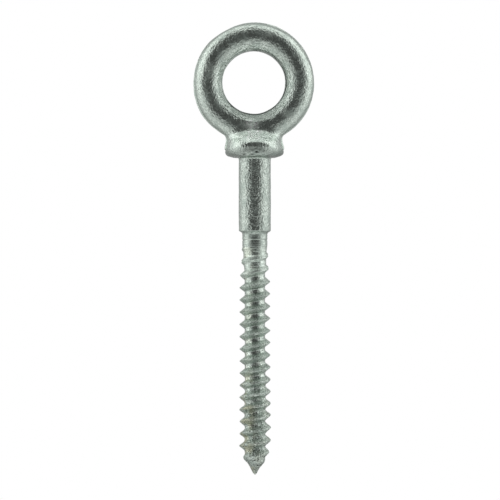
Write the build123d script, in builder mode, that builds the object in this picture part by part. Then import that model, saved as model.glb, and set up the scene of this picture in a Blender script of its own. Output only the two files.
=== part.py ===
from build123d import *
import math
import os

# Shoulder-pattern lag eye bolt, 3/8 in, drop forged from round bar and rolled with a lag thread.
# It is one forging, divided here at its own features into solids that meet face to face.
# Millimetres. The origin is the centre of the shoulder's seat, +Z runs along the shank's axis to the eye,
# and the eye's hole runs along Y. The forging's parting plane is XZ.

# Eye: a round bar bent into a ring, with the flash trimmed flat inside and outside
bar_d = 8.8
eye_hole_d = 18.6
eye_outer_d = 35.9
eye_z = 22.35

# Neck: a cone from the shoulder's top edge up to the sides of the bar
neck_bottom_z = 4.4
neck_bottom_r = 8.5
neck_top_z = 9.2
neck_slope_deg = 45.0
neck_fillet_r = 1.2

# Flash web in the corner between the eye and the shoulder, in the parting plane
web_t = 1.6
web_bottom_z = 3.1
web_waist_r = 8.35
web_waist_z = 6.0
web_top_r = 8.5
web_top_z = 6.6

# Shoulder
shoulder_d = 17.7
shoulder_top_z = 3.4
seat_flat_d = 12.2
seat_taper_deg = 17.0
seat_rise = 0.5

# Plain shank, 3/8 in, with a fillet under the seat
shank_d = 9.525
seat_fillet_r = 0.4
shank_end_z = -21.9
shank_end_chamfer = 0.35

# Reduced blank that the thread is rolled from
blank_d = 7.45
blank_end_z = -26.6
blank_fillet_r = 0.6

# Lag thread, 7 per inch, right hand
pitch = 25.4 / 7
crest_d = 9.06
root_d = 6.04
run_in_crest_d = 7.9
run_in_root_d = 6.74
run_in_z = -28.0
run_in_root_end_z = -31.5
full_root_z = -34.2
full_crest_z = -40.0
run_out_z = -86.5
crest_flat = 0.5
root_flat = 1.15
foot_sink = 0.4
top_proud = 0.25
crest_at_plus_x_z = -40.4

# Cone point
point_base_z = -90.1
point_base_r = 2.95
point_end_z = -94.1
tip_r = 0.6

os.makedirs("parts", exist_ok=True)


# The whole head of the forging, cut into the eye, the neck and the shoulder further down
seat_taper = math.radians(seat_taper_deg)
edge_start_r = seat_flat_d / 2 + seat_rise / math.tan(seat_taper)
edge_r = (shoulder_d / 2 - edge_start_r) / (1 - math.sin(seat_taper))
edge_end_z = seat_rise + edge_r * math.cos(seat_taper)
neck_top_r = neck_bottom_r - (neck_top_z - neck_bottom_z) / math.tan(math.radians(neck_slope_deg))

with BuildPart() as head:
    # Eye
    with BuildSketch(Plane.XY.offset(eye_z)):
        with Locations(((eye_outer_d + eye_hole_d) / 4, 0)):
            Circle(bar_d / 2)
            Rectangle((eye_outer_d - eye_hole_d) / 2, bar_d, mode=Mode.INTERSECT)
    revolve(axis=Axis((0, 0, eye_z), (0, 1, 0)))
    # Shoulder and neck
    with BuildSketch(Plane.XZ):
        with BuildLine():
            seat = Polyline((0, 0), (seat_flat_d / 2, 0), (edge_start_r, seat_rise))
            edge = TangentArc(seat @ 1, (shoulder_d / 2, edge_end_z), tangent=seat % 1)
            Polyline(
                edge @ 1,
                (shoulder_d / 2, shoulder_top_z),
                (neck_bottom_r, neck_bottom_z),
                (neck_top_r, neck_top_z),
                (0, neck_top_z),
                (0, 0),
            )
        make_face()
    revolve(axis=Axis.Z)
    # Flash web, left and right
    with BuildSketch(Plane.XZ):
        with BuildLine():
            Polyline(
                (0, web_bottom_z),
                (shoulder_d / 2, web_bottom_z),
                (web_waist_r, web_waist_z),
                (web_top_r, web_top_z),
                (0, web_top_z),
                close=True,
            )
        make_face()
        mirror(about=Plane.YZ)
    extrude(amount=web_t / 2, both=True)
    neck_joint = head.edges().filter_by(GeomType.BSPLINE).filter_by(
        lambda e: abs(e.center().Y) > bar_d / 4 and e.center().Z > neck_bottom_z
    )
    fillet(neck_joint, neck_fillet_r)

with BuildPart() as eye_ring:
    add(head.part)
    split(bisect_by=Plane.XY.offset(neck_top_z), keep=Keep.TOP)
eye_ring.part.label = "eye_ring"

with BuildPart() as neck:
    add(head.part)
    split(bisect_by=Plane.XY.offset(neck_top_z), keep=Keep.BOTTOM)
    split(bisect_by=Plane.XY.offset(neck_bottom_z), keep=Keep.TOP)
neck.part.label = "neck"

with BuildPart() as shoulder_collar:
    add(head.part)
    split(bisect_by=Plane.XY.offset(neck_bottom_z), keep=Keep.BOTTOM)
    with Locations((0, 0, neck_bottom_z)):
        Hole(shank_d / 2 + seat_fillet_r)
shoulder_collar.part.label = "shoulder_collar"


# Plain shank, running up through the shoulder to the neck
with BuildPart() as shank:
    with BuildSketch(Plane.XZ):
        with BuildLine():
            side = Polyline(
                (0, shank_end_z),
                (shank_d / 2 - shank_end_chamfer, shank_end_z),
                (shank_d / 2, shank_end_z + shank_end_chamfer),
                (shank_d / 2, -seat_fillet_r),
            )
            under_seat = TangentArc(
                side @ 1,
                (shank_d / 2 + seat_fillet_r, 0),
                tangent=(0, 1),
            )
            Polyline(under_seat @ 1, (shank_d / 2 + seat_fillet_r, neck_bottom_z), (0, neck_bottom_z), side @ 0)
        make_face()
    revolve(axis=Axis.Z)
shank.part.label = "shank"


# Reduced blank, with a fillet up to the shank's shoulder
with BuildPart() as reduced_blank:
    with BuildSketch(Plane.XZ):
        with BuildLine():
            throat = Line((blank_d / 2, blank_end_z), (blank_d / 2, shank_end_z - blank_fillet_r))
            flare = TangentArc(
                throat @ 1,
                (blank_d / 2 + blank_fillet_r, shank_end_z),
                tangent=throat % 1,
            )
            Polyline(flare @ 1, (0, shank_end_z), (0, blank_end_z), throat @ 0)
        make_face()
    revolve(axis=Axis.Z)
reduced_blank.part.label = "reduced_blank"


# Lag thread: a helical ridge on a core, both trimmed to where the thread runs in and out
def turned(profile):
    """Revolve a profile of (radius, z) points, given from the top down, into a solid about Z."""
    with BuildPart() as solid:
        with BuildSketch(Plane.XZ):
            with BuildLine():
                Polyline((0, profile[0][1]), *profile, (0, profile[-1][1]), close=True)
            make_face()
        revolve(axis=Axis.Z)
    return solid.part


core = turned(
    [
        (blank_d / 2, blank_end_z),
        (run_in_root_d / 2, run_in_z),
        (run_in_root_d / 2, run_in_root_end_z),
        (root_d / 2, full_root_z),
        (root_d / 2, run_out_z),
        (point_base_r, point_base_z),
    ]
)
envelope = turned(
    [
        (blank_d / 2, blank_end_z),
        (run_in_crest_d / 2, run_in_z),
        (crest_d / 2, full_crest_z),
        (crest_d / 2, run_out_z),
        (point_base_r, point_base_z),
    ]
)

# One turn of the ridge, with its foot sunk into the core and its top proud of the crest
crest_r = crest_d / 2
root_r = root_d / 2
foot_r = root_r - foot_sink
top_r = crest_r + top_proud
flank_slope = (pitch - crest_flat - root_flat) / 2 / (crest_r - root_r)
foot_half = crest_flat / 2 + flank_slope * (crest_r - foot_r)
top_half = crest_flat / 2 + flank_slope * (crest_r - top_r)
turns_above = math.ceil((blank_end_z - crest_at_plus_x_z) / pitch) + 1
turns_below = math.ceil((crest_at_plus_x_z - point_base_z) / pitch) + 1
first_turn_z = crest_at_plus_x_z - turns_below * pitch

with BuildPart() as turn:
    with BuildLine():
        Helix(pitch=pitch, height=pitch, radius=foot_r, center=(0, 0, first_turn_z))
    with BuildSketch(Plane.XZ):
        with BuildLine():
            Polyline(
                (foot_r, first_turn_z - foot_half),
                (top_r, first_turn_z - top_half),
                (top_r, first_turn_z + top_half),
                (foot_r, first_turn_z + foot_half),
                close=True,
            )
        make_face()
    sweep(is_frenet=True)

with BuildPart() as lag_thread:
    add(core)
    with Locations(*[(0, 0, n * pitch) for n in range(turns_above + turns_below)]):
        add(turn.part)
    add(envelope, mode=Mode.INTERSECT)
lag_thread.part.label = "lag_thread"


# Cone point, with a rounded tip tangent to the cone
cone_run = point_base_z - point_end_z - tip_r
cone_dist = math.hypot(cone_run, point_base_r)
cone_tilt = math.atan2(point_base_r, cone_run) - math.asin(tip_r / cone_dist)
tip_centre_z = point_end_z + tip_r
tangent_r = tip_r * math.cos(cone_tilt)
tangent_z = tip_centre_z - tip_r * math.sin(cone_tilt)
with BuildPart() as point:
    with BuildSketch(Plane.XZ):
        with BuildLine():
            tip = TangentArc((0, point_end_z), (tangent_r, tangent_z), tangent=(1, 0))
            Polyline(tip @ 1, (point_base_r, point_base_z), (0, point_base_z), tip @ 0)
        make_face()
    revolve(axis=Axis.Z)
point.part.label = "point"

for piece in (eye_ring, neck, shoulder_collar, shank, reduced_blank, lag_thread, point):
    export_step(piece.part, f"parts/{piece.part.label}.step")
    print(piece.part.label, round(piece.part.volume, 1), piece.part.is_valid)
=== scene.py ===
import math

import bmesh
import bpy
import numpy as np
import openvdb
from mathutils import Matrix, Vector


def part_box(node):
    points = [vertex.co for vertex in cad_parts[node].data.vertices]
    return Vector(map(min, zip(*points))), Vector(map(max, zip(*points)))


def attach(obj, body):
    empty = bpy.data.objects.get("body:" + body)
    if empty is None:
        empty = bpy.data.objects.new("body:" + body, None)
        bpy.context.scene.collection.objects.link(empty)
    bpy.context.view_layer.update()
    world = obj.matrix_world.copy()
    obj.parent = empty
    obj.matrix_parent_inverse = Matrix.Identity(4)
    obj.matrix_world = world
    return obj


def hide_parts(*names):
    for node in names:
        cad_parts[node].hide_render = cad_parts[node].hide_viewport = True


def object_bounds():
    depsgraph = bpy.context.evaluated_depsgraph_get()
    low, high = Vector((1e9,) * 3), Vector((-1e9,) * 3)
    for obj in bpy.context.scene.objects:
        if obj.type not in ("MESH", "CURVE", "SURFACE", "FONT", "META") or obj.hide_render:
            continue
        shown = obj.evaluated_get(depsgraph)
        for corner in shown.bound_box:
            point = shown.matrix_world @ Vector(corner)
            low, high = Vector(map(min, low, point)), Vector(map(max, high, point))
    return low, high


# The looks of a hot-dip galvanised, drop-forged eye bolt with a shoulder and a lag thread.
# The shapes are worked out in millimetres and stored in metres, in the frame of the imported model.
# The parting plane of the forging is XZ. Each CAD node is replaced by a mesh with the forging's rounded
# edges, its flash lines and the uneven skin of zinc. The meshes are cut at the same planes as the CAD nodes,
# but for the seam under the collar, which is a little lower and so clear of the fillet.

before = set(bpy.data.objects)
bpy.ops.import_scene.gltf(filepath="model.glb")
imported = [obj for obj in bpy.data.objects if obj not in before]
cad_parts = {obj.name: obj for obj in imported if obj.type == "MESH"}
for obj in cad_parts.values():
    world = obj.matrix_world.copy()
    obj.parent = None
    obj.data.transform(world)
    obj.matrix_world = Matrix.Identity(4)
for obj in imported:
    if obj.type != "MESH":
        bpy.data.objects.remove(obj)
cad_low, cad_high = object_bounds()

MM = 0.001


def box_mm(node):
    """A CAD node's lowest and highest corners in millimetres."""
    low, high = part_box(node)
    return np.array(low) / MM, np.array(high) / MM


# ---------------------------------------------------------------- driving sizes, millimetres and degrees
_, eye_high = box_mm("eye_ring")
neck_low, neck_high = box_mm("neck")
_, collar_high = box_mm("shoulder_collar")
shank_low, _ = box_mm("shank")
blank_low, _ = box_mm("reduced_blank")
thread_low, _ = box_mm("lag_thread")
point_low, _ = box_mm("point")

EYE_OUTER_R = eye_high[0]
EYE_Z = eye_high[2] - EYE_OUTER_R
NECK_TOP_Z = neck_high[2]
NECK_BOTTOM_Z = neck_low[2]
COLLAR_R = collar_high[0]
SHANK_END_Z = shank_low[2]
BLANK_END_Z = blank_low[2]
THREAD_END_Z = thread_low[2]
TIP_Z = point_low[2]

# The forging's mismatch: how far the eye and the collar stand off the shank's axis, towards -X
EYE_OFFSET = 0.26
COLLAR_OFFSET = 0.09
OFFSET_FROM_Z = 2
OFFSET_RUN = 8

# Eye: the hole and how far its centre stands above the ring's, and the round bar
HOLE_R = 9.33
HOLE_RISE = 0.10
BAR_CENTRE_R = 13.62
BAR_R = 4.20

# Eye: the flash outside, trimmed a little within the CAD outline, and the land inside
FLASH_HALF = 0.8
FLASH_TRIM = 0.07
FLASH_PROUD = 0.04
LAND_HALF = 1.7

# Eye: the dressed bevel round the hole. It misses the bar where it wasn't well dressed, and it fills out the
# bar between the fill radius and the middle of the bar.
BEVEL_R = 11.3
BEVEL_SLOPE = 39.0
BEVEL_MISS = 0.45
BEVEL_FILL_R = 9.72

# How the eye's sizes vary round the ring. Each row is a centre angle, a half width and an amount.
BAR_CENTRE_CHANGES = ((0, 50, 0.13),)
FLASH_R_CHANGES = ((119, 28, -0.30), (204, 40, 0.24), (68, 15, 0.16), (325, 40, 0.12))
LAND_HALF_CHANGES = ((186, 50, -1.1),)
BEVEL_R_CHANGES = ((-78, 75, 0.45), (4, 42, 0.35))
BEVEL_SLOPE_CHANGES = ((4, 42, 3.0),)
BEVEL_SHARE = ((-78, 85, 1.3), (4, 50, 1.3))
BEVEL_FILL_CHANGES = ((182, 44, 0.45),)
BEVEL_FILL_R_CHANGES = ((0, 34, 0.58), (50, 40, 0.15), (95, 36, 0.38))

# Neck: its depth leans in by so much per millimetre of rise, with a slight hollow. Its width has a waist.
NECK_BOTTOM_R = 8.76
NECK_LEAN = 1.12
NECK_HOLLOW = 0.004
NECK_HOLLOW_RISE = 6
NECK_LEAST_DEPTH = 1.0
NECK_WAIST_R = 8.05
NECK_WAIST_Z = 5.8
NECK_FLARE = 0.07
NECK_CAP_Z = 10.6

# Collar and seat: the side tilts in below its widest height, and more so in front and behind
SIDE_TILT = 1.5
FRONT_TILT = 11.0
WIDEST_Z = 3.0
SEAT_FLAT_R = 6.1
SEAT_TAPER = 17.0

# Flash web in the corner between the eye and the collar
WEB_HALF = 0.8
WEB_PROUD = 0.33
WEB_TOP_Z = 7.3
WEB_INSET = 0.05
WEB_BURIED = 0.5

# Roundings between the head's forms
EDGE_BLEND = 0.12
LAND_BLEND = 0.06
BEVEL_BLEND = 0.10
FILL_BLEND = 0.12
FLASH_EDGE_BLEND = 0.15
FLASH_BLEND = 0.35
SEAT_BLEND = 0.12
NECK_TO_COLLAR_BLEND = 1.1
COLLAR_RIM_BLEND = 1.3
EYE_TO_NECK_BLEND = 1.2
WEB_EDGE_BLEND = 0.3
WEB_BLEND = 0.35
SHANK_FILLET_BLEND = 0.5

# Shank, blank, thread and point. The head's mesh has a stub of the shank and is cut off at the seam.
SHANK_R = 4.7625
BLANK_R = 3.73
ROOT_R = 3.02
CREST_R = 4.60
PITCH = 25.4 / 7
CREST_AT_PLUS_X_Z = -40.4
STUB_TOP_Z = 1.0
HEAD_SEAM_Z = -0.45
HEAD_END_Z = 3 * HEAD_SEAM_Z
GROOVE_Z = -24.45

# Mesh spacing
LATTICE_MARGIN_LOW = (1.2, 1.0, 1.0)
LATTICE_MARGIN_HIGH = (1.2, 1.0, 1.2)
HEAD_SPACING = 0.17
TURNED_SPACING = 0.12
TURNED_BLUR = 0.13
SETTLING_STEPS = 3
FINE_STEP = 0.02
COLUMNS = 144

# A face with more corners than this is an end cap, not skin
MOST_SKIN_CORNERS = 8


# ---------------------------------------------------------------- seeded noise
TURN = np.array([[0.36, 0.48, -0.80], [-0.80, 0.60, 0.0], [0.48, 0.64, 0.60]])
NOISE_SHIFT = 512.37
PIT_SHIFT = 256.19
LATTICE_PRIMES = (374761393, 668265263, 974634777)
MIXING_PRIME = 1274126177
LOW_32_BITS = 0xFFFFFFFF
LOW_24_BITS = 0xFFFFFF


def lattice_value(ix, iy, iz, seed):
    """One repeatable number from 0 to 1 for each lattice point."""
    px, py, pz = LATTICE_PRIMES
    h = (ix * px + iy * py + iz * pz + seed * MIXING_PRIME) & LOW_32_BITS
    h = ((h ^ (h >> 13)) * MIXING_PRIME) & LOW_32_BITS
    return ((h ^ (h >> 16)) & LOW_24_BITS) / float(LOW_24_BITS)


def smooth_noise(points, size, seed):
    """Smooth noise from -1 to 1 with lumps about size millimetres across."""
    scaled = points @ TURN.T / size + NOISE_SHIFT
    cell = np.floor(scaled).astype(np.int64)
    t = scaled - cell
    t = t * t * t * (t * (t * 6 - 15) + 10)
    total = np.zeros(len(points))
    for dx in (0, 1):
        wx = t[:, 0] if dx else 1 - t[:, 0]
        for dy in (0, 1):
            wy = t[:, 1] if dy else 1 - t[:, 1]
            for dz in (0, 1):
                wz = t[:, 2] if dz else 1 - t[:, 2]
                corner = lattice_value(cell[:, 0] + dx, cell[:, 1] + dy, cell[:, 2] + dz, seed)
                total += wx * wy * wz * corner
    return total * 2 - 1


def soft_step(amount):
    """An amount from 0 to 1 with its two ends eased."""
    return amount * amount * (3 - 2 * amount)


def small_pits(points, spacing, radius, share, seed):
    """Depth from 0 to 1 of small round pits, with a pit in that share of the cells."""
    scaled = points @ TURN.T / spacing + PIT_SHIFT
    cell = np.floor(scaled).astype(np.int64)
    depth = np.zeros(len(points))
    for dx in (-1, 0, 1):
        for dy in (-1, 0, 1):
            for dz in (-1, 0, 1):
                c = cell + np.array([dx, dy, dz])
                ids = (c[:, 0], c[:, 1], c[:, 2])
                centre = np.stack([c[:, k] + lattice_value(*ids, seed + k) for k in range(3)], axis=1)
                size = radius * (0.5 + 0.8 * lattice_value(*ids, seed + 4))
                gap = np.linalg.norm((scaled - centre) * spacing, axis=1) / size
                here = lattice_value(*ids, seed + 3) < share
                depth = np.maximum(depth, np.where(here, np.clip(1 - gap, 0, 1), 0))
    return soft_step(depth)


# ---------------------------------------------------------------- blends and bumps
def smooth_max(a, b, blend):
    """The larger of two fields, rounded over a blend of that many millimetres."""
    h = np.clip(blend - np.abs(a - b), 0, None) / blend
    return np.maximum(a, b) + h * h * blend / 4


def smooth_min(a, b, blend):
    """The smaller of two fields, rounded over a blend of that many millimetres."""
    return -smooth_max(-a, -b, blend)


def bump_at(angle, centre, half_width):
    """A smooth bump from 0 to 1 round a centre angle. Degrees."""
    gap = np.abs((angle - centre + 180) % 360 - 180) / half_width
    return np.where(gap < 1, 0.5 + 0.5 * np.cos(np.pi * np.clip(gap, 0, 1)), 0)


def change_at(angle, changes):
    """The sum of some bumps. Each is a centre angle, a half width and an amount."""
    return sum(amount * bump_at(angle, centre, half_width) for centre, half_width, amount in changes)


def rise_from(value, start, run):
    """0 below the start, 1 beyond start + run, and even in between."""
    return np.clip((value - start) / run, 0, 1)


def dents(points, places):
    """Depth from 0 to 1 of named dents. Each place is a centre and its half sizes along x, y and z."""
    depth = np.zeros(len(points))
    for centre, half in places:
        gap = np.linalg.norm((points - np.array(centre)) / np.array(half), axis=1)
        depth = np.maximum(depth, np.clip(1 - gap, 0, 1))
    return soft_step(depth)


# ---------------------------------------------------------------- the skin of zinc
# Octaves are (size of the lumps, height), in millimetres
FORGED_OCTAVES = ((7.0, 0.06), (3.1, 0.050), (1.5, 0.030), (0.75, 0.013))
ROLLED_OCTAVES = ((6.0, 0.02), (2.3, 0.030), (1.1, 0.022), (0.6, 0.013))
FORGED_SEED = 3
ROLLED_SEED = 21

# Small round pits, in clusters, and closer ones where the eye is pitted
FORGED_PIT_DEPTH = 0.12
FORGED_PIT_SHARE = 0.45
ROLLED_PIT_DEPTH = 0.08
ROLLED_PIT_SHARE = 0.40
PIT_CLUSTER = 6.5
PIT_SPACING = 1.15
PIT_R = 0.36
CLOSE_PIT_SPACING = 0.9
CLOSE_PIT_R = 0.33
CLOSE_PIT_SHARE = 0.8

# Laps left where the collar was upset against the shank
SEAT_LAPS = (
    ((0.6, -8.6, 1.6), (1.0, 1.5, 0.42)),
    ((-0.8, -7.6, 0.75), (1.2, 2.0, 0.35)),
    ((-3.2, -7.2, 0.8), (1.0, 2.0, 0.32)),
    ((0.2, -4.9, 0.25), (0.9, 2.0, 0.35)),
)
SEAT_LAP_DEPTH = 0.28

# The arched lap across the collar's front: dents a step apart, each so much lower than the top one
ARCH_DEPTH = 0.07
ARCH_DENTS = 4
ARCH_STEP = 0.85
ARCH_TOP_Z = 3.95
ARCH_DROP = 0.055
ARCH_SHIFT = 0.1
ARCH_HALF = (1.0, 1.2, 0.5)

# The lap's zinc is darker towards its ends
ARCH_DARK = 0.30
ARCH_DARK_RISE = 0.17
ARCH_DARK_MOST = 0.8

# Patches of duller zinc under the hole, round the eye and on the collar's front
DULL_PATCHES = (
    ((-1.2, -4.3, 9.6), (2.6, 3.0, 1.5)),
    ((-13.6, -4.2, 26.0), (2.2, 3.0, 4.0)),
    ((9.8, -4.2, 12.8), (3.0, 3.0, 2.4)),
    ((4.0, -4.2, 36.3), (4.0, 3.0, 1.6)),
    ((-1.7, -8.7, 2.4), (2.8, 1.8, 1.3)),
    ((1.9, -8.6, 2.1), (2.4, 1.8, 1.0)),
)

# Where the forging's scale left close pits on the eye
PITTED_PATCHES = (
    ((-14.2, -3.6, 26.5), (3.0, 3.5, 5.5)),
    ((9.5, -3.6, 33.0), (3.5, 3.5, 3.5)),
    ((-5.0, -4.0, 36.5), (3.5, 3.5, 2.5)),
)

# Painted highlight: the zinc's colour is made brighter on the neck's front and back slopes and in front
# under the hole
PAINTED_HIGHLIGHT_PATCHES = (
    ((0.0, -6.7, 6.6), (7.5, 5.0, 3.8)),
    ((0.0, 6.7, 6.6), (7.5, 5.0, 3.8)),
    ((-1.0, -4.3, 10.0), (4.0, 3.0, 2.8)),
)

# Painted shade: the zinc's colour is darkened on the hole's upper rim, within a radius and round an angle,
# and on the underside round the seat
RIM_R = 10.0
RIM_FADE = 0.2
RIM_ANGLE = 62
RIM_HALF_ANGLE = 85
RIM_SHADE = 1.3
SEAT_SHADE_Z = 3.1
SEAT_SHADE_FADE = 1.1
SEAT_SHADE_R = 5.2


def relief(points, octaves, pit_depth, pit_share, seed, pitted=()):
    """How far the zinc stands off the plain form in millimetres, and how deep in a pit each point is."""
    height = np.zeros(len(points))
    for i, (size, amplitude) in enumerate(octaves):
        height += amplitude * smooth_noise(points, size, seed + 11 * i)
    scaled_off = dents(points, pitted)
    clustered = np.clip(smooth_noise(points, PIT_CLUSTER, seed + 57) * 1.6 + 0.35, 0, 1)
    clustered = np.maximum(clustered, scaled_off)
    pits = small_pits(points, PIT_SPACING, PIT_R, pit_share, seed + 101) * clustered
    close_pits = small_pits(points, CLOSE_PIT_SPACING, CLOSE_PIT_R, CLOSE_PIT_SHARE, seed + 131) * scaled_off
    pits = np.maximum(pits, close_pits)
    return height - pit_depth * pits, pits


def arched_lap():
    """Places of the dents that make one arched lap across the collar's front."""
    places = []
    for i in range(-ARCH_DENTS, ARCH_DENTS + 1):
        x = ARCH_STEP * i
        y = -math.sqrt(COLLAR_R ** 2 - x ** 2)
        z = ARCH_TOP_Z - ARCH_DROP * x ** 2
        places.append(((x + ARCH_SHIFT, y, z), ARCH_HALF))
    return places


# ---------------------------------------------------------------- the forged head as a field
def bevelled_bar(radius, y, angle):
    """Negative inside the eye's round bar, with the bevel that was dressed round the hole."""
    bar_centre = BAR_CENTRE_R + change_at(angle, BAR_CENTRE_CHANGES)
    bar = np.hypot(radius - bar_centre, y) - BAR_R

    bevel_r = BEVEL_R + change_at(angle, BEVEL_R_CHANGES)
    bevel_y = np.sqrt(BAR_R ** 2 - (bar_centre - bevel_r) ** 2)
    slope = np.radians(BEVEL_SLOPE + change_at(angle, BEVEL_SLOPE_CHANGES))
    bevel = (bevel_r - radius) * np.sin(slope) + (np.abs(y) - bevel_y) * np.cos(slope)
    well_dressed = np.clip(change_at(angle, BEVEL_SHARE), 0, 1)
    bar = smooth_max(bar, bevel - BEVEL_MISS * (1 - well_dressed), BEVEL_BLEND)

    fill_r = BEVEL_FILL_R + change_at(angle, BEVEL_FILL_R_CHANGES)
    filled = bevel + change_at(angle, BEVEL_FILL_CHANGES)
    filled = np.maximum(filled, np.abs(y) - bevel_y)
    filled = np.maximum(filled, np.maximum(fill_r - radius, radius - BAR_CENTRE_R))
    return smooth_min(bar, filled, FILL_BLEND)


def eye_field(x, y, z):
    """Negative inside the eye: the bar, the trimmed flash outside it and the pierced land inside it."""
    radius = np.hypot(x, z - EYE_Z)
    angle = np.degrees(np.arctan2(z - EYE_Z, x))

    flash_r = EYE_OUTER_R - FLASH_TRIM + change_at(angle, FLASH_R_CHANGES)
    flash = smooth_max(radius - flash_r, np.abs(y) - FLASH_HALF, FLASH_EDGE_BLEND)
    flash = np.maximum(flash, BAR_CENTRE_R - radius)

    land_half = LAND_HALF + change_at(angle, LAND_HALF_CHANGES)
    land = np.maximum(np.abs(y) - land_half, radius - BAR_CENTRE_R)

    eye = smooth_min(bevelled_bar(radius, y, angle), flash, FLASH_BLEND)
    eye = smooth_min(eye, land, LAND_BLEND)
    eye = smooth_max(eye, radius - flash_r - FLASH_PROUD, EDGE_BLEND)
    hole = HOLE_R - np.hypot(x, z - EYE_Z - HOLE_RISE)
    return smooth_max(eye, hole, EDGE_BLEND)


def neck_waist(z):
    """Half the neck's width in the eye's plane, least at the waist."""
    return NECK_WAIST_R + NECK_FLARE * (z - NECK_WAIST_Z) ** 2


def neck_field(x, y, z):
    """Negative inside the neck: round at the collar, and as deep as the bar where it meets the eye."""
    rise = z - NECK_BOTTOM_Z
    hollow_rise = np.clip(rise, 0, NECK_HOLLOW_RISE)
    half_depth = NECK_BOTTOM_R - NECK_LEAN * rise + NECK_HOLLOW * hollow_rise ** 2
    half_depth = np.maximum(half_depth, NECK_LEAST_DEPTH)
    lean = NECK_LEAN - 2 * NECK_HOLLOW * hollow_rise
    half_width = neck_waist(z)
    stretch = half_width / half_depth
    reach = np.hypot(x, y * stretch) + 1e-6
    plan_slope = np.hypot(x, y * stretch ** 2) / reach
    rise_slope = (y * stretch) ** 2 * lean / (half_depth * reach)
    neck = (reach - half_width) / np.hypot(plan_slope, rise_slope)
    return np.maximum(neck, z - NECK_CAP_Z)


def shoulder_field(x, y, z):
    """Negative inside the neck and the round collar with its tapered seat."""
    radius = np.hypot(x, y)
    front = np.abs(y) / (radius + 1e-6)
    tilt = np.radians(SIDE_TILT + FRONT_TILT * front)
    side = (radius - COLLAR_R) * np.cos(tilt) + (WIDEST_Z - z) * np.sin(tilt)
    taper = math.radians(SEAT_TAPER)
    seat = (radius - SEAT_FLAT_R) * math.sin(taper) - z * math.cos(taper)
    seat = smooth_max(seat, -z, SEAT_BLEND)
    upper = smooth_max(neck_field(x, y, z), side, NECK_TO_COLLAR_BLEND)
    return smooth_max(upper, seat, COLLAR_RIM_BLEND)


def web_field(x, y, z):
    """Negative inside the flash web left in the corner between the eye and the collar."""
    reach = np.minimum(neck_waist(z) + WEB_PROUD, COLLAR_R - WEB_INSET)
    web = smooth_max(np.abs(x) - reach, np.abs(y) - WEB_HALF, WEB_EDGE_BLEND)
    web = np.maximum(web, z - WEB_TOP_Z)
    return np.maximum(web, WIDEST_Z - WEB_BURIED - z)


def head_field(points):
    """Negative inside the whole head: eye, neck, collar, web and the first of the shank."""
    x, y, z = points[..., 0], points[..., 1], points[..., 2]
    stub = np.maximum(np.hypot(x, y) - SHANK_R, z - STUB_TOP_Z)
    x = x + COLLAR_OFFSET + (EYE_OFFSET - COLLAR_OFFSET) * rise_from(z, OFFSET_FROM_Z, OFFSET_RUN)
    head = smooth_min(eye_field(x, y, z), shoulder_field(x, y, z), EYE_TO_NECK_BLEND)
    head = smooth_min(head, web_field(x, y, z), WEB_BLEND)
    head = smooth_min(head, stub, SHANK_FILLET_BLEND)
    return np.maximum(head, HEAD_END_Z - z)


def field_gradient(points, step=0.01):
    """The field's slope at each point, from small steps each way."""
    slope = np.zeros_like(points)
    for k in range(3):
        offset = np.zeros(3)
        offset[k] = step
        slope[:, k] = (head_field(points + offset) - head_field(points - offset)) / (2 * step)
    return slope


def head_quads(spacing):
    """The plain head: its field on a lattice, made into points and quads that are settled on the form."""
    low = np.array([-EYE_OUTER_R, -COLLAR_R, HEAD_END_Z]) - LATTICE_MARGIN_LOW
    high = np.array([EYE_OUTER_R, COLLAR_R, EYE_Z + EYE_OUTER_R]) + LATTICE_MARGIN_HIGH
    count = np.ceil((high - low) / spacing).astype(int) + 1
    values = np.empty(count, np.float32)
    xs = low[0] + spacing * np.arange(count[0])
    ys = low[1] + spacing * np.arange(count[1])
    zs = low[2] + spacing * np.arange(count[2])
    for i, x in enumerate(xs):
        slab = np.stack(np.meshgrid([x], ys, zs, indexing="ij"), axis=-1)
        values[i] = head_field(slab)[0]
    reach = 3 * spacing
    grid = openvdb.FloatGrid(reach)
    grid.copyFromArray(np.clip(values, -reach, reach))
    points, quads = grid.convertToQuads(0.0)
    points = points.astype(float) * spacing + low
    for _ in range(SETTLING_STEPS):
        slope = field_gradient(points)
        points -= slope * (head_field(points) / np.maximum((slope ** 2).sum(1), 0.2))[:, None]
    return points, quads


def head_shade(points):
    """How much painted shade darkens the zinc's colour, 0 to RIM_SHADE: on the hole's upper rim and round
    the seat.
    """
    x, y, z = points.T
    from_eye = np.hypot(x, z - EYE_Z)
    angle = np.degrees(np.arctan2(z - EYE_Z, x))
    rim = np.clip((RIM_R - from_eye) / RIM_FADE, 0, 1) * bump_at(angle, RIM_ANGLE, RIM_HALF_ANGLE)
    seat = np.clip((SEAT_SHADE_Z - z) / SEAT_SHADE_FADE, 0, 1) * np.clip(np.hypot(x, y) - SEAT_SHADE_R, 0, 1)
    return np.maximum(seat, RIM_SHADE * rim)


def mesh_head(spacing):
    """The head's surface with its zinc, laps and marks, as points, quads and marks."""
    points, quads = head_quads(spacing)
    slope = field_gradient(points)
    normals = slope / np.maximum(np.linalg.norm(slope, axis=1), 1e-9)[:, None]
    height, pits = relief(
        points, FORGED_OCTAVES, FORGED_PIT_DEPTH, FORGED_PIT_SHARE, FORGED_SEED, PITTED_PATCHES
    )
    laps = dents(points, SEAT_LAPS)
    arch = dents(points, arched_lap())
    arch_darkness = np.clip(ARCH_DARK + ARCH_DARK_RISE * np.abs(points[:, 0]), 0, ARCH_DARK_MOST)
    marks = {
        "pit": np.maximum(np.maximum(pits, laps), arch * arch_darkness),
        "dull": dents(points, DULL_PATCHES),
        # painted shade: the zinc's colour is darkened on the hole's rim and round the seat
        "shade": head_shade(points),
        # painted highlight: the zinc's colour is brightened on the neck's slopes and under the hole
        "painted_highlight": dents(points, PAINTED_HIGHLIGHT_PATCHES),
    }
    points = points + normals * (height - SEAT_LAP_DEPTH * laps - ARCH_DEPTH * arch)[:, None]
    return points, quads, marks


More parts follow.
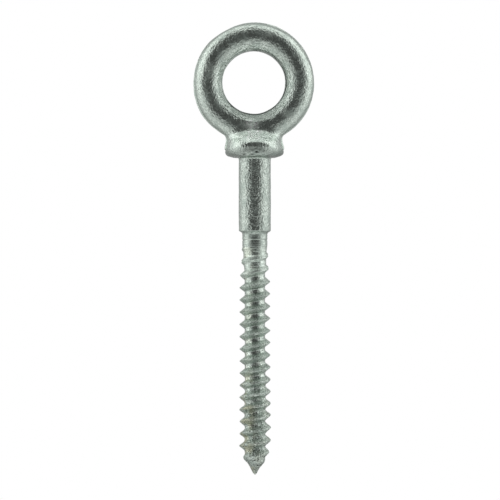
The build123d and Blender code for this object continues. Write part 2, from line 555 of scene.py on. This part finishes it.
# ---------------------------------------------------------------- meshes
def vertex_normals(points, quads):
    """Area-weighted normals of a quad mesh."""
    a, b, c, d = (points[quads[:, k]] for k in range(4))
    face = np.cross(c - a, d - b)
    total = np.zeros_like(points)
    for k in range(4):
        for axis in range(3):
            total[:, axis] += np.bincount(quads[:, k], weights=face[:, axis], minlength=len(points))
    return total / np.maximum(np.linalg.norm(total, axis=1), 1e-12)[:, None]


def make_mesh(name, points, quads, marks):
    """A mesh in metres from millimetre points, with its normals and its named marks kept on the points."""
    mesh = bpy.data.meshes.new(name)
    mesh.from_pydata((points * MM).tolist(), [], quads.tolist())
    normals = vertex_normals(points, quads.astype(np.int64))
    kept = mesh.attributes.new("skin_normal", "FLOAT_VECTOR", "POINT")
    kept.data.foreach_set("vector", normals.ravel().astype(np.float32))
    for mark, amount in marks.items():
        kept = mesh.attributes.new(mark, "FLOAT", "POINT")
        kept.data.foreach_set("value", amount.ravel().astype(np.float32))
    return mesh


def use_skin_normals(mesh):
    """Shades each face with the normals of the whole surface, so no seam shows, and leaves end caps flat."""
    mesh.polygons.foreach_set("use_smooth", [True] * len(mesh.polygons))
    kept = np.empty(len(mesh.vertices) * 3, np.float32)
    mesh.attributes["skin_normal"].data.foreach_get("vector", kept)
    kept = kept.reshape(-1, 3)
    kept /= np.maximum(np.linalg.norm(kept, axis=1), 1e-9)[:, None]
    corner = np.empty(len(mesh.loops), np.int32)
    mesh.loops.foreach_get("vertex_index", corner)
    loops = kept[corner]
    for face in mesh.polygons:
        if face.loop_total > MOST_SKIN_CORNERS:
            loops[face.loop_start:face.loop_start + face.loop_total] = face.normal
    mesh.attributes.remove(mesh.attributes["skin_normal"])
    mesh.normals_split_custom_set(loops.tolist())


def fill_holes(bm):
    """Closes each open rim with one flat face."""
    rim = [edge for edge in bm.edges if edge.is_boundary]
    bmesh.ops.holes_fill(bm, edges=rim, sides=0)


def slab_of(mesh, name, low_z, high_z):
    """A closed copy of the part of a mesh between two heights in millimetres. None leaves that end whole."""
    bm = bmesh.new()
    bm.from_mesh(mesh)
    for height, outward in ((low_z, -1), (high_z, 1)):
        if height is None:
            continue
        bmesh.ops.bisect_plane(
            bm,
            geom=bm.verts[:] + bm.edges[:] + bm.faces[:],
            dist=1e-8,
            plane_co=(0, 0, height * MM),
            plane_no=(0, 0, outward),
            clear_outer=True,
        )
        fill_holes(bm)
    bmesh.ops.recalc_face_normals(bm, faces=bm.faces[:])
    piece = bpy.data.meshes.new(name)
    bm.to_mesh(piece)
    bm.free()
    use_skin_normals(piece)
    return piece


def add_piece(mesh, node, material):
    """Puts a mesh in the scene as the piece that stands for a CAD node."""
    piece = bpy.data.objects.new(mesh.name, mesh)
    bpy.context.scene.collection.objects.link(piece)
    mesh.materials.append(material)
    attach(piece, "root")
    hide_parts(node)


# ---------------------------------------------------------------- shank, blank, thread and point
# The four are one turned form. Its core's outline from the top down: (radius, height)
CORE_OUTLINE = (
    (SHANK_R, HEAD_SEAM_Z + 1.0),
    (SHANK_R, SHANK_END_Z + 0.25),
    (SHANK_R - 0.22, SHANK_END_Z + 0.02),
    (BLANK_R + 0.25, SHANK_END_Z - 0.22),
    (BLANK_R, SHANK_END_Z - 0.7),
    (BLANK_R, BLANK_END_Z + 0.6),
    (3.42, -28.4),
    (3.36, -31.5),
    (ROOT_R, -34.2),
    (ROOT_R, -86.0),
    (2.98, THREAD_END_Z + 0.2),
    (1.62, -91.7),
    (1.14, -92.6),
    (0.62, -93.6),
    (0.0, TIP_Z - 0.12),
)

# The thread's crest from the top down: (height, radius)
CREST_OUTLINE = (
    (-26.4, 3.60),
    (-27.1, 4.08),
    (-29.0, 4.24),
    (-31.2, 4.32),
    (-33.0, 4.42),
    (-35.0, 4.50),
    (-38.0, 4.56),
    (-42.0, CREST_R),
    (-86.6, CREST_R),
    (-88.6, 3.95),
    (-90.2, 3.05),
    (-91.0, 2.20),
    (-92.5, 0.0),
)

# The ridge: its half width at the base, its rounding and its crest, and how wear and the run-in change them
RIDGE_HALF = 1.25
RIDGE_HALF_WORN = 0.14
RIDGE_HALF_RUN_IN = 0.30
RIDGE_FOOT_BLEND = 0.16
RIDGE_FOOT_BLEND_WORN = 0.29
RIDGE_CREST = 0.98
RIDGE_CREST_WORN = 0.14
RIDGE_CREST_BLEND = 0.06
RIDGE_CREST_BLEND_WORN = 0.26
RIDGE_TOP = 0.965
RIDGE_TOP_WORN = 0.165

# The groove between the two lips of the first ridges
LIP_GROOVE_DEPTH = 0.48
LIP_GROOVE_HALF = 0.21
LIPS_FROM_Z = -35.5
LIPS_FADE = 4.0

# The run-in lies above these heights. Its turns are a little further apart, and its skin is calmer.
RUN_IN_Z = -37.0
RUN_IN_STRETCH = 0.08
NARROW_RIDGE_Z = -35.0
NARROW_RIDGE_FADE = 4.0
CALM_SKIN_Z = -36.5
CALM_SKIN_FADE = 2.0
CALM_SKIN = 0.55

# How the helix wanders, and where it runs late
WANDER_ONCE = 0.05
WANDER_TWICE = 0.04
LATE_BY = 0.22
LATE_Z = -79.5
LATE_REACH = 8.0

# The lower thread is worn, most on +X, and thickly coated. Depths are measured down from the seat.
WORN_DEPTH = 58.0
WORN_FADE = 10.0
THICK_DEPTH = 62.0
THICK_FADE = 8.0
THICK_GAIN = 2.2

# Lumps in the thick zinc: (size, height, seed)
LUMPS = ((1.5, 0.075, 77), (0.8, 0.06, 78))
AXIS_FADE = 1.2

# Rolled flanks are duller, and less so low down
FLANK_RISE = 0.35
FLANK_DEPTH = 27.5
FLANK_FADE = 3.0
FLANK_LOW_Z = -76.0
FLANK_LOW_FADE = 14.0
FLANK_LEAST = 0.35

# Tool marks on the blank: ripples, and the groove
TURNED_FADE = 0.4
TURNED_END_FADE = 3.0
RIPPLE_HEIGHT = 0.017
GROOVE_DEPTH = 0.11
GROOVE_HALF = 0.19


def softened(values, blur):
    """Values along a line of fine steps, blurred over that many millimetres with their ends kept."""
    reach = int(4 * blur / FINE_STEP)
    kernel = np.exp(-0.5 * (np.arange(-reach, reach + 1) * FINE_STEP / blur) ** 2)
    kernel /= kernel.sum()
    return np.convolve(np.pad(values, reach, mode="reflect", reflect_type="odd"), kernel, mode="valid")


def turned_rows(spacing, blur):
    """Radius, height and outward slope of the core's outline, with its corners softened by zinc."""
    corners = np.array(CORE_OUTLINE)
    run = np.concatenate([[0], np.cumsum(np.linalg.norm(np.diff(corners, axis=0), axis=1))])
    fine = np.arange(0, run[-1], FINE_STEP)
    radius = softened(np.interp(fine, run, corners[:, 0]), blur)
    height = softened(np.interp(fine, run, corners[:, 1]), blur)
    keep = np.arange(0, len(fine), int(round(spacing / FINE_STEP)))
    slope_r = np.gradient(radius, FINE_STEP)[keep]
    slope_z = np.gradient(height, FINE_STEP)[keep]
    length = np.hypot(slope_r, slope_z)
    return radius[keep], height[keep], -slope_z / length, slope_r / length


def distance_from_crest(angle, z):
    """How far along the bolt each point is from the middle of the nearest ridge of the helix."""
    wander = WANDER_ONCE * np.sin(angle + z * 0.31) + WANDER_TWICE * np.sin(2 * angle - z * 0.83)
    wander = wander + LATE_BY * np.exp(-((z - LATE_Z) / LATE_REACH) ** 2)
    lead = CREST_AT_PLUS_X_Z + PITCH * angle / (2 * np.pi) + wander
    stretch = RUN_IN_STRETCH * np.clip(z - RUN_IN_Z, 0, None)
    turns = (z - stretch - lead) / PITCH
    return np.abs(turns - np.round(turns)) * PITCH


def thread_height(angle, z, core_r):
    """How far the thread's ridge stands off the core. Right-hand helix with a run-in at the top."""
    crest_z, crest_r = np.array(CREST_OUTLINE).T
    axial = distance_from_crest(angle, z)
    top = np.interp(-z, -crest_z, crest_r)
    rise = np.clip(top - core_r, 0, None)
    lip_groove = LIP_GROOVE_DEPTH * np.exp(-(axial / LIP_GROOVE_HALF) ** 2)
    lip_groove = lip_groove * rise_from(z, LIPS_FROM_Z, LIPS_FADE)
    worn = rise_from(-z, WORN_DEPTH, WORN_FADE) * (0.68 + 0.32 * np.cos(angle))
    narrow = RIDGE_HALF_RUN_IN * rise_from(z, NARROW_RIDGE_Z, NARROW_RIDGE_FADE)
    half_base = RIDGE_HALF + RIDGE_HALF_WORN * worn - narrow
    ridge = 1 - axial / half_base
    ridge = smooth_max(ridge, 0, RIDGE_FOOT_BLEND + RIDGE_FOOT_BLEND_WORN * worn)
    crest_blend = RIDGE_CREST_BLEND + RIDGE_CREST_BLEND_WORN * worn
    ridge = smooth_min(ridge, RIDGE_CREST - RIDGE_CREST_WORN * worn, crest_blend)
    return rise * (ridge - lip_groove * ridge) / (RIDGE_TOP - RIDGE_TOP_WORN * worn)


def turning_marks(z):
    """Ripples and one deeper groove left by the tool on the blank and in the first roots."""
    here = np.clip((SHANK_END_Z - 0.6 - z) / TURNED_FADE, 0, 1) * rise_from(z, RUN_IN_Z, TURNED_END_FADE)
    ripples = np.sin(z * 8.6 + 1.3 * np.sin(z * 1.7)) + 0.6 * np.sin(z * 12.3 + 2.0)
    groove = np.exp(-((z - GROOVE_Z) / GROOVE_HALF) ** 2)
    return here * (RIPPLE_HEIGHT * ripples - GROOVE_DEPTH * groove)


def turned_skin(points, z, radius, height):
    """How far the zinc stands off the turned form, and its pits. It is thick and lumpy low down."""
    thick = rise_from(-height, THICK_DEPTH, THICK_FADE)[:, None]
    off_axis = np.clip(radius / AXIS_FADE, 0, 1)[:, None]
    run_in = rise_from(z, CALM_SKIN_Z, CALM_SKIN_FADE) * np.clip(SHANK_END_Z - z, 0, 1)
    skin, pits = relief(points, ROLLED_OCTAVES, ROLLED_PIT_DEPTH, ROLLED_PIT_SHARE, ROLLED_SEED)
    skin = skin.reshape(z.shape) * (1 + THICK_GAIN * thick) * (1 - CALM_SKIN * run_in)
    lumps = sum(amplitude * smooth_noise(points, size, seed) for size, amplitude, seed in LUMPS)
    skin = (skin + lumps.reshape(z.shape) * thick) * off_axis
    return skin + turning_marks(z), pits


def turned_surface(spacing):
    """Points of the turned form in rows from the top down, with its marks."""
    radius, height, slope_r, slope_z = turned_rows(spacing, TURNED_BLUR)
    angle = np.linspace(0, 2 * np.pi, COLUMNS, endpoint=False)
    a, z = np.meshgrid(angle, height)
    core = np.repeat(radius[:, None], COLUMNS, axis=1)
    ridge = thread_height(a, z, core)
    r = core + ridge
    flank = np.clip(ridge / FLANK_RISE, 0, 1) * rise_from(-z, FLANK_DEPTH, FLANK_FADE)
    flank = flank * np.clip((z - FLANK_LOW_Z) / FLANK_LOW_FADE, FLANK_LEAST, 1)
    points = np.stack([r * np.cos(a), r * np.sin(a), z], axis=-1).reshape(-1, 3)
    skin, pits = turned_skin(points, z, radius, height)
    outward_r = slope_r[:, None]
    outward_z = slope_z[:, None] + 0 * a
    outward = np.stack([outward_r * np.cos(a), outward_r * np.sin(a), outward_z], axis=-1)
    points = points + (outward * skin[..., None]).reshape(-1, 3)
    return points, {"pit": pits, "flank": flank}


def ring_quads(rows):
    """Quads between neighbouring rows of points, facing outwards."""
    row, column = np.meshgrid(np.arange(rows - 1), np.arange(COLUMNS), indexing="ij")
    here = (row * COLUMNS + column).ravel()
    beside = (row * COLUMNS + (column + 1) % COLUMNS).ravel()
    return np.stack([here, here + COLUMNS, beside + COLUMNS, beside], axis=1)


def make_turned_pieces(spacing, cuts):
    """Closed meshes of the turned form between neighbouring cut heights. A cut is (name, top, bottom)."""
    points, marks = turned_surface(spacing)
    whole = make_mesh("turned", points, ring_quads(len(points) // COLUMNS), marks)
    bm = bmesh.new()
    bm.from_mesh(whole)
    fill_holes(bm)
    bm.to_mesh(whole)
    bm.free()
    return [slab_of(whole, name, bottom, top) for name, top, bottom in cuts]


# ---------------------------------------------------------------- materials
class Nodes:
    """Short calls for building one node tree."""

    def __init__(self, tree):
        self.tree = tree

    def node(self, kind, **values):
        """A new node with those properties set."""
        made = self.tree.nodes.new(kind)
        for name, value in values.items():
            setattr(made, name, value)
        return made

    def put(self, socket, value):
        """Links a socket, or sets its plain value."""
        if isinstance(value, bpy.types.NodeSocket):
            self.tree.links.new(value, socket)
        else:
            socket.default_value = value

    def maths(self, operation, *inputs, clamp=False):
        """The result of one operation on plain values or sockets."""
        made = self.node("ShaderNodeMath", operation=operation, use_clamp=clamp)
        for socket, value in zip(made.inputs, inputs):
            self.put(socket, value)
        return made.outputs[0]

    def vector(self, operation, value, scale=None):
        """A vector scaled or normalised."""
        made = self.node("ShaderNodeVectorMath", operation=operation)
        self.put(made.inputs[0], value)
        if scale is not None:
            self.put(made.inputs["Scale"], scale)
        return made.outputs[0]

    def split(self, value):
        """The three outputs x, y and z of a vector."""
        made = self.node("ShaderNodeSeparateXYZ")
        self.put(made.inputs[0], value)
        return made.outputs

    def mark(self, name):
        """A named mark kept on the mesh's points, 0 where the mesh has none."""
        return self.node("ShaderNodeAttribute", attribute_name=name).outputs["Fac"]

    def ramp(self, value, low, high, at_low, at_high, smooth=True):
        """A value that goes from at_low to at_high while the input goes from low to high."""
        made = self.node("ShaderNodeMapRange", interpolation_type="SMOOTHSTEP" if smooth else "LINEAR")
        self.put(made.inputs["Value"], value)
        self.put(made.inputs["From Min"], low)
        self.put(made.inputs["From Max"], high)
        self.put(made.inputs["To Min"], at_low)
        self.put(made.inputs["To Max"], at_high)
        return made.outputs[0]

    def noise(self, coordinates, size, detail=2.0, roughness=0.5):
        """Noise from 0 to 1 with lumps about size millimetres across."""
        made = self.node("ShaderNodeTexNoise")
        self.put(made.inputs["Vector"], coordinates)
        self.put(made.inputs["Scale"], 1.0 / size)
        self.put(made.inputs["Detail"], detail)
        self.put(made.inputs["Roughness"], roughness)
        return made.outputs["Fac"]

    def cells(self, coordinates, size):
        """A random colour for each cell about size millimetres across."""
        made = self.node("ShaderNodeTexVoronoi", feature="F1")
        self.put(made.inputs["Vector"], coordinates)
        self.put(made.inputs["Scale"], 1.0 / size)
        return made.outputs["Color"]

    def mix(self, amount, first, second, blend="MIX"):
        """Two colours mixed or blended by an amount."""
        made = self.node("ShaderNodeMix", data_type="RGBA", blend_type=blend)
        self.put(made.inputs["Factor"], amount)
        self.put(made.inputs["A"], first)
        self.put(made.inputs["B"], second)
        return made.outputs["Result"]

    def grey(self, level):
        """A grey colour of that level."""
        made = self.node("ShaderNodeCombineColor")
        for socket in made.inputs[:3]:
            self.put(socket, level)
        return made.outputs[0]

    def bump(self, height, depth, below=None):
        """A bump whose height of 1 stands depth millimetres proud."""
        made = self.node("ShaderNodeBump")
        self.put(made.inputs["Height"], height)
        self.put(made.inputs["Distance"], depth * MM)
        self.put(made.inputs["Strength"], 1.0)
        if below is not None:
            self.put(made.inputs["Normal"], below)
        return made.outputs["Normal"]


# The zinc's colours
ZINC_LIGHT = (0.690, 0.765, 0.705, 1)
ZINC_DARK = (0.420, 0.485, 0.435, 1)
ZINC_PIT = (0.080, 0.090, 0.080, 1)
ZINC_BLUE = (0.470, 0.550, 0.500, 1)
ZINC_STAIN = (0.560, 0.560, 0.400, 1)

# Sizes of the zinc's patterns, millimetres
CRYSTAL_SIZE = 0.42
PATCH_SIZE = 2.6
STAIN_SIZE = 3.2
SPECK_SIZE = 0.36
STIPPLE_SIZE = 0.50
ORANGE_PEEL_SIZE = 1.1

# Heights that the zinc changes between, millimetres
STAIN_FADE = (-72.0, -58.0)
SPECK_FADE = (-68.0, -40.0)
RUN_IN_FADE = (-37.0, -34.0)
POINT_FADE = (-91.5, -87.5)
LOW_THREAD_FADE = (-76.0, -70.0)
ROUGH_FADE = (-78.0, -66.0)
BLANK_FADE = (-24.0, -22.0)
STIPPLE_FADE = (-72.0, -56.0)

# The side that the zinc bath drained off, along x
DRAINED_FADE = (-1.8, 0.6)

# How much the marks change the zinc
DEEPEST_SHADE = 0.58
PAINTED_HIGHLIGHT_GAIN = 1.50
HIGHLIGHT_PATCH_ROUGHNESS = 0.10
FLANK_ROUGHNESS = 0.28
DULL_ROUGHNESS = 0.30


def stain_amount(tree, here, stain, flank):
    """Where the yellowish stain lies: in broad patches, low down, on the drained side and off the flanks."""
    x, _, z = tree.split(here)
    broad = tree.noise(here, STAIN_SIZE, detail=1.5)
    low_down = tree.ramp(z, *STAIN_FADE, 1.0, 0.3)
    stained = tree.maths("MULTIPLY", tree.ramp(broad, 0.44, 0.60, 0, 1), low_down)
    stained = tree.maths("MULTIPLY", stained, stain)
    drained_side = tree.ramp(x, *DRAINED_FADE, 1.0, 0.15)
    stained = tree.maths("MULTIPLY", stained, drained_side)
    return tree.maths("MULTIPLY", stained, tree.ramp(flank, 0.2, 1.0, 1.0, 0.35))


def speck_amount(tree, here, specks):
    """Where small dark specks of dross lie: a few more low down, and far fewer above the run-in."""
    _, _, z = tree.split(here)
    dross = tree.ramp(tree.noise(here, SPECK_SIZE, detail=1.0), 0.53, 0.62, 0.0, specks)
    dross = tree.maths("MULTIPLY", dross, tree.ramp(z, *SPECK_FADE, 0.85, 0.7))
    return tree.maths("MULTIPLY", dross, tree.ramp(z, *RUN_IN_FADE, 1.0, 0.2))


def zinc_shade(tree, here, tone, painted_highlight):
    """A brightness: less on the worn point and in the painted shade, more in the painted highlight."""
    _, _, z = tree.split(here)
    worn = tree.ramp(z, *POINT_FADE, 0.78, 1.0)
    worn = tree.maths("MULTIPLY", worn, tree.ramp(z, *LOW_THREAD_FADE, 0.94, 1.0))
    # painted shade from the shade mark, on the hole's rim and round the seat
    painted_shade = tree.ramp(tree.mark("shade"), 0.0, RIM_SHADE, tone, tone * DEEPEST_SHADE, smooth=False)
    shade = tree.maths("MULTIPLY", worn, painted_shade)
    # painted highlight: brighter colour where the highlight mark lies
    return tree.maths("MULTIPLY", shade, tree.ramp(painted_highlight, 0.0, 0.55, 1.0, PAINTED_HIGHLIGHT_GAIN))


def zinc_colour(tree, here, patches, flank, painted_highlight, stain, specks, tone):
    """Light and dark crystals with bluish patches, stains, specks, dark pits, painted shade and a painted
    highlight.
    """
    speckle = tree.noise(here, CRYSTAL_SIZE, detail=2.0, roughness=0.6)
    crystals = tree.maths("MULTIPLY", tree.cells(here, CRYSTAL_SIZE), 0.12)
    colour = tree.mix(tree.ramp(speckle, 0.35, 0.65, 0, 1), ZINC_DARK, ZINC_LIGHT)
    colour = tree.mix(tree.ramp(patches, 0.42, 0.68, 0, 0.75), colour, ZINC_BLUE)
    colour = tree.mix(crystals, colour, ZINC_LIGHT)
    colour = tree.mix(stain_amount(tree, here, stain, flank), colour, ZINC_STAIN)
    colour = tree.mix(speck_amount(tree, here, specks), colour, ZINC_PIT)
    colour = tree.mix(tree.ramp(tree.mark("pit"), 0.25, 0.85, 0, 0.9), colour, ZINC_PIT)
    shade = tree.grey(zinc_shade(tree, here, tone, painted_highlight))
    return tree.mix(1.0, colour, shade, blend="MULTIPLY")


def zinc_roughness(tree, here, patches, flank, painted_highlight, roughness, patchiness):
    """Rougher in patches, on rolled flanks, in the dull marks, on the painted highlight patch and low on the
    thread.
    """
    _, _, z = tree.split(here)
    dull = tree.ramp(patches, 0.32, 0.68, roughness - 0.07, roughness + patchiness)
    dull = tree.maths("ADD", dull, tree.maths("MULTIPLY", flank, FLANK_ROUGHNESS))
    dull = tree.maths("ADD", dull, tree.maths("MULTIPLY", tree.mark("dull"), DULL_ROUGHNESS))
    dull = tree.maths("ADD", dull, tree.ramp(painted_highlight, 0.0, 0.5, 0.0, HIGHLIGHT_PATCH_ROUGHNESS))
    return tree.maths("ADD", dull, tree.ramp(z, *ROUGH_FADE, 0.15, 0.0), clamp=True)


def zinc_normal(tree, here, painted_highlight, grain_depth, thread_calm):
    """An orange peel and a stipple, thread_calm times as deep on the blank and the upper thread."""
    _, _, z = tree.split(here)
    calm = tree.ramp(z, *BLANK_FADE, thread_calm, 1.0)
    calm = tree.maths("MAXIMUM", calm, tree.ramp(z, *STIPPLE_FADE, 1.6, thread_calm))
    calm = tree.maths("MULTIPLY", calm, tree.ramp(painted_highlight, 0.0, 0.35, 1.0, 0.7))
    stipple = tree.noise(here, STIPPLE_SIZE, detail=1.5, roughness=0.55)
    orange_peel = tree.noise(here, ORANGE_PEEL_SIZE, detail=1.0)
    normal = tree.bump(tree.maths("MULTIPLY", orange_peel, calm), grain_depth * 1.6)
    return tree.bump(tree.maths("MULTIPLY", stipple, calm), grain_depth * 1.5, normal)


def zinc_material(
    name,
    roughness,
    grain_depth,
    stain,
    patchiness=0.16,
    tone=1.0,
    thread_calm=1.0,
    specks=0.0,
):
    """Galvanised steel: a metallic skin with fine crystals, a stipple, duller patches and faint stains."""
    material = bpy.data.materials.new(name)
    material.use_nodes = True
    tree = Nodes(material.node_tree)
    shader = material.node_tree.nodes["Principled BSDF"]
    coordinates = tree.node("ShaderNodeTexCoord").outputs["Object"]
    here = tree.vector("SCALE", coordinates, scale=1.0 / MM)
    patches = tree.noise(here, PATCH_SIZE, detail=3.0, roughness=0.6)
    flank = tree.mark("flank")
    # the mark where a highlight is painted into the colour
    painted_highlight = tree.mark("painted_highlight")

    colour = zinc_colour(tree, here, patches, flank, painted_highlight, stain, specks, tone)
    dull = zinc_roughness(tree, here, patches, flank, painted_highlight, roughness, patchiness)
    tree.put(shader.inputs["Base Color"], colour)
    tree.put(shader.inputs["Metallic"], 1.0)
    tree.put(shader.inputs["Roughness"], dull)
    tree.put(shader.inputs["Normal"], zinc_normal(tree, here, painted_highlight, grain_depth, thread_calm))
    return material


# ---------------------------------------------------------------- studio
WHITE = (1, 1, 1, 1)
OPENING_MIDDLE = (-0.3, 23.5)
OPENING_HALF = (89.0, 91.5)
OPENING_POWER = 2.4
OPENING_LEVEL = 0.085

FLOOR_DROP = 0.45
FLOOR_R = 2.5
FLOOR_GLOW = 0.30

CAMERA_DISTANCE = 0.9
CAMERA_FRAME_WIDTH = 0.14865
CAMERA_X = -0.00144
CAMERA_Z = -0.02735
CAMERA_ROLL = 0.05


def tent_level(tree):
    """How bright the light tent is each way: a dark opening in front, and bright sides and top."""
    way = tree.node("ShaderNodeTexCoord").outputs["Generated"]
    x, y, z = tree.split(tree.vector("NORMALIZE", way))

    # angle from the front of the tent, and its two parts in degrees
    from_front = tree.maths("DEGREES", tree.maths("ARCCOSINE", tree.maths("MULTIPLY", y, -1.0)))
    across = tree.maths("ADD", tree.maths("MULTIPLY", x, x), tree.maths("MULTIPLY", z, z))
    across = tree.maths("MAXIMUM", tree.maths("SQRT", across), 1e-4)
    parts = []
    for way_across, middle, half in zip((x, z), OPENING_MIDDLE, OPENING_HALF):
        part = tree.maths("MULTIPLY", from_front, tree.maths("DIVIDE", way_across, across))
        part = tree.maths("DIVIDE", tree.maths("SUBTRACT", part, middle), half)
        parts.append(tree.maths("POWER", tree.maths("ABSOLUTE", part), OPENING_POWER))

    # the dark opening is a rounded box in those angles
    size = tree.maths("POWER", tree.maths("ADD", *parts), 1 / OPENING_POWER)
    wall = tree.ramp(size, 0.30, 0.97, 0.0, 1.0)

    # the tent's wall: bright at the sides and the top, dimmer underneath and behind
    height = tree.ramp(z, -0.85, 0.90, 0.72, 1.74)
    overhead = tree.maths("MULTIPLY", y, tree.maths("MAXIMUM", z, 0.0))
    height = tree.maths("MULTIPLY", height, tree.ramp(overhead, 0.10, 0.25, 1.0, 0.60))
    floor_bounce = tree.ramp(z, -1.0, -0.8, 0.45, 0.0)
    height = tree.maths("ADD", height, floor_bounce)
    behind = tree.ramp(from_front, 88.0, 132.0, 1.0, 0.38)
    lit = tree.maths("MULTIPLY", height, behind)
    return tree.maths("ADD", OPENING_LEVEL, tree.maths("MULTIPLY", wall, lit))


def studio_world():
    """A white light tent with a dark open front: what the zinc mirrors. It is plain white to look at."""
    world = bpy.data.worlds.new("light_tent")
    bpy.context.scene.world = world
    world.use_nodes = True
    tree = Nodes(world.node_tree)
    world.node_tree.nodes.clear()

    tent = tree.node("ShaderNodeBackground")
    tree.put(tent.inputs["Color"], WHITE)
    tree.put(tent.inputs["Strength"], tent_level(tree))
    white = tree.node("ShaderNodeBackground")
    tree.put(white.inputs["Color"], WHITE)
    tree.put(white.inputs["Strength"], 1.0)
    choose = tree.node("ShaderNodeMixShader")
    tree.put(choose.inputs[0], tree.node("ShaderNodeLightPath").outputs["Is Camera Ray"])
    tree.put(choose.inputs[1], tent.outputs[0])
    tree.put(choose.inputs[2], white.outputs[0])
    tree.put(tree.node("ShaderNodeOutputWorld").inputs["Surface"], choose.outputs[0])


def studio_floor():
    """A plain pale floor well below the bolt, which only looks from above show."""
    bm = bmesh.new()
    bmesh.ops.create_circle(bm, cap_ends=True, segments=96, radius=FLOOR_R)
    mesh = bpy.data.meshes.new("floor")
    bm.to_mesh(mesh)
    bm.free()
    floor = bpy.data.objects.new("floor", mesh)
    floor.location = (0, 0, cad_low.z - FLOOR_DROP)
    bpy.context.scene.collection.objects.link(floor)
    material = bpy.data.materials.new("pale_floor")
    material.use_nodes = True
    shader = material.node_tree.nodes["Principled BSDF"]
    shader.inputs["Base Color"].default_value = (0.9, 0.9, 0.9, 1)
    shader.inputs["Roughness"].default_value = 0.9
    shader.inputs["Emission Color"].default_value = WHITE
    shader.inputs["Emission Strength"].default_value = FLOOR_GLOW
    mesh.materials.append(material)
    floor.visible_glossy = False


def main_camera():
    """A level long lens on the eye bolt's front."""
    camera = bpy.data.cameras.new("camera")
    holder = bpy.data.objects.new("camera", camera)
    bpy.context.scene.collection.objects.link(holder)
    camera.sensor_width = 36.0
    camera.lens = camera.sensor_width * CAMERA_DISTANCE / CAMERA_FRAME_WIDTH
    holder.location = (CAMERA_X, -CAMERA_DISTANCE, CAMERA_Z)
    holder.rotation_euler = (math.radians(90), math.radians(CAMERA_ROLL), 0)
    bpy.context.scene.camera = holder


# ---------------------------------------------------------------- the pieces
def add_head():
    """The forged eye, neck and collar, cut from one mesh."""
    forged = zinc_material("forged_zinc", roughness=0.20, grain_depth=0.09, stain=0.05)
    points, quads, marks = mesh_head(HEAD_SPACING)
    head = make_mesh("head", points, quads, marks)
    cuts = (
        ("forged_eye", "eye_ring", NECK_TOP_Z, None),
        ("forged_neck", "neck", NECK_BOTTOM_Z, NECK_TOP_Z),
        ("forged_collar", "shoulder_collar", HEAD_SEAM_Z, NECK_BOTTOM_Z),
    )
    for name, node, bottom, top in cuts:
        add_piece(slab_of(head, name, bottom, top), node, forged)


def add_turned_part():
    """The shank, blank, thread and point, cut from one mesh."""
    drawn = zinc_material(
        "shank_zinc",
        roughness=0.26,
        grain_depth=0.125,
        stain=0.05,
        tone=0.92,
        thread_calm=0.35,
        specks=0.1,
    )
    rolled = zinc_material(
        "thread_zinc",
        roughness=0.25,
        grain_depth=0.11,
        stain=0.75,
        patchiness=0.08,
        tone=1.16,
        thread_calm=0.60,
        specks=0.9,
    )
    cuts = (
        ("plain_shank", HEAD_SEAM_Z, SHANK_END_Z),
        ("rolled_blank", SHANK_END_Z, BLANK_END_Z),
        ("rolled_thread", BLANK_END_Z, THREAD_END_Z),
        ("cone_point", THREAD_END_Z, None),
    )
    shank, blank, thread, point = make_turned_pieces(TURNED_SPACING, cuts)
    add_piece(shank, "shank", drawn)
    add_piece(blank, "reduced_blank", drawn)
    add_piece(thread, "lag_thread", rolled)
    add_piece(point, "point", rolled)


def main():
    """Builds the pieces and the studio."""
    add_head()
    add_turned_part()
    studio_world()
    studio_floor()
    main_camera()
    bpy.context.scene.view_settings.view_transform = "Standard"


main()
